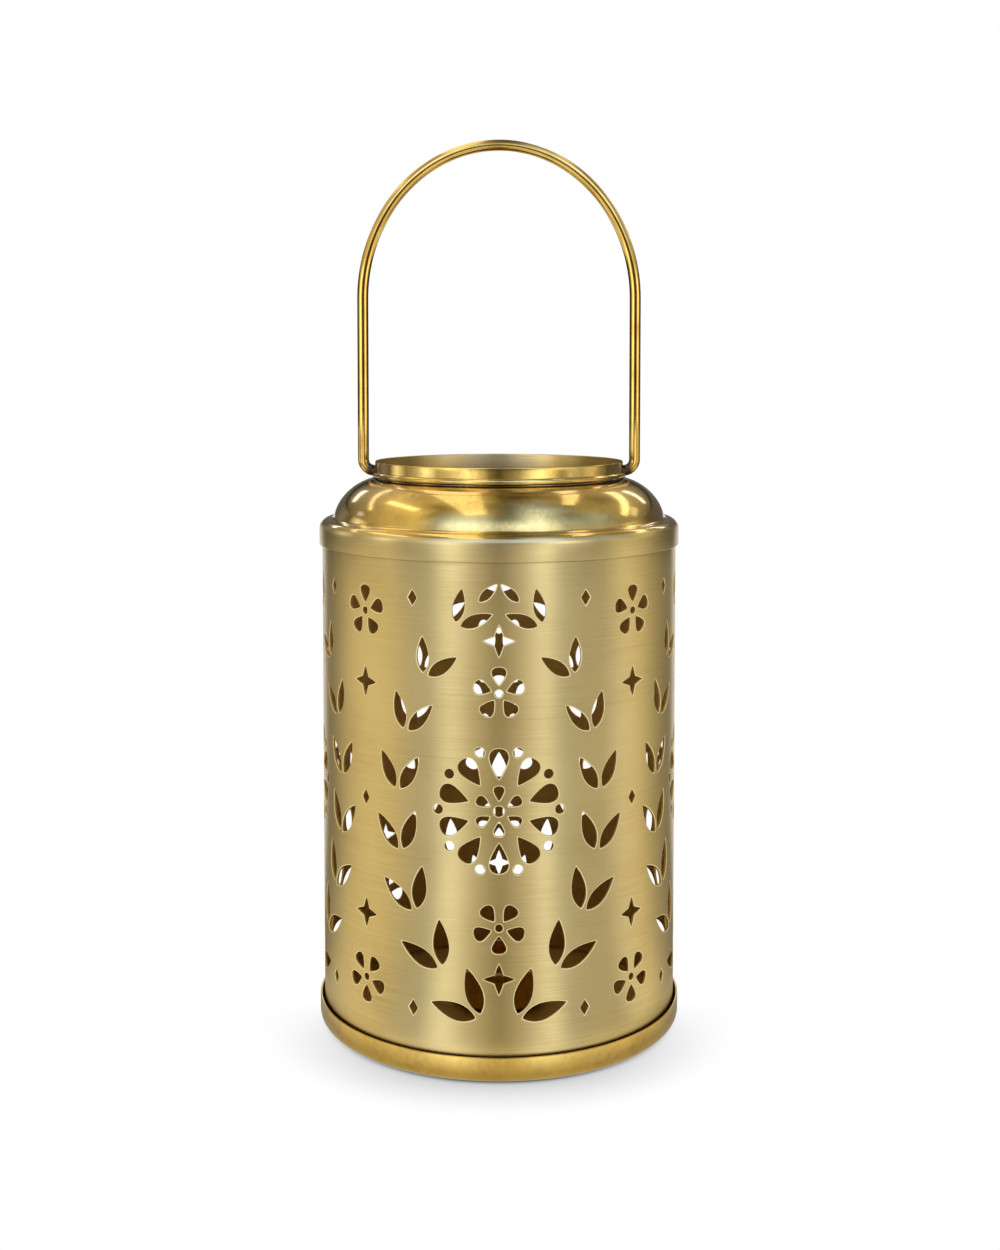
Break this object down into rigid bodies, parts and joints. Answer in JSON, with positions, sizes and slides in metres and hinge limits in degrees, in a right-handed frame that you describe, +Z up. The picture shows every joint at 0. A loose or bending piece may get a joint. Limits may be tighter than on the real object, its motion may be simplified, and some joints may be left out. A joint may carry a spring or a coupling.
{
  "type": "candle lantern",
  "caption": "Pierced brass candle lantern: a cylinder of cut-out sheet on a round pan, a domed shoulder with an open neck, a swinging wire bail and a small candle cup inside.",
  "frame": {"origin": "on the floor under the centre of the pan, which is the bottom centre of the bounding box", "axes": "+Z up along the lantern's axis, front towards -Y, +X to the right seen from the front; the bail stands in the XZ plane and swings about X"},
  "size_m": [0.1538, 0.1538, 0.3732],
  "materials": {
    "brushed_brass": "satin, brushed round the drum, lightly antiqued",
    "spun_brass": "lathe-spun, half polished, lightly antiqued",
    "drawn_brass": "drawn wire, polished, dark at the ends"
  },
  "bodies": {
    "lantern_body": {"base_pan": "spun_brass", "pierced_drum": "brushed_brass", "shoulder_dome": "spun_brass", "neck_ring": "spun_brass", "candle_cup": "spun_brass", "cup_rivet": "drawn_brass", "rivet_burr": "drawn_brass"},
    "bail": {"bail_handle": "drawn_brass"}
  },
  "joints": [
    {"name": "bail_swing", "type": "hinge", "parent": "lantern_body", "child": "bail", "pos_m": [0, 0, 0.23362], "axis": [1, 0, 0], "range_deg": [-99, 99]}
  ]
}
